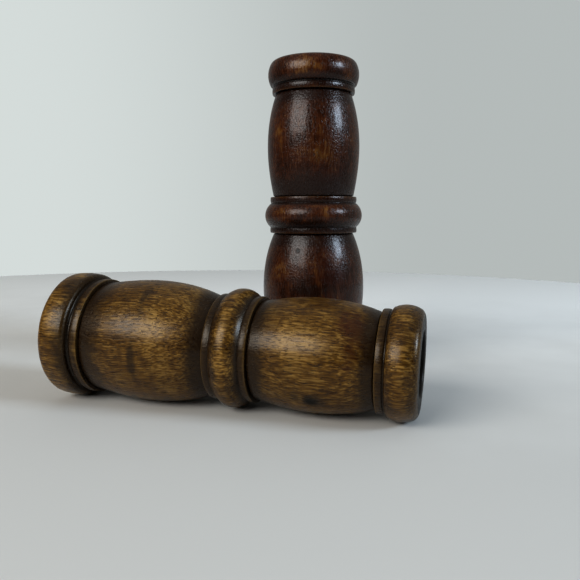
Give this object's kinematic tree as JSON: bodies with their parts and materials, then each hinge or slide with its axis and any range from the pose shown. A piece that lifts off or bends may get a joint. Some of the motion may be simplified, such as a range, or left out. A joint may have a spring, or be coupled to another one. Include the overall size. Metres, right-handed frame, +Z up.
{
  "type": "claves",
  "caption": "Pair of short turned wooden claves with ringed barrel profiles and bored narrow ends, one lying down and one standing behind it.",
  "frame": {"origin": "on the table, under the middle of the pair's box", "axes": "+Z up along the standing clave, +X along the lying clave from its foot to its mouth, +Y from the lying clave to the standing one"},
  "size_m": [0.131, 0.1068, 0.13],
  "materials": {
    "golden_brown_wood": "satin stain and wax, dark in the grooves",
    "dark_brown_wood": "semi-gloss dark stain and varnish"
  },
  "bodies": {
    "lying_clave": {"lying_clave": "golden_brown_wood"},
    "standing_clave": {"standing_clave": "dark_brown_wood"}
  },
  "joints": [
    {"name": "standing_clave_lift", "type": "slide", "parent": "lying_clave", "child": "standing_clave", "axis": [0, 0, 1], "range_m": [0, 0.15]}
  ]
}
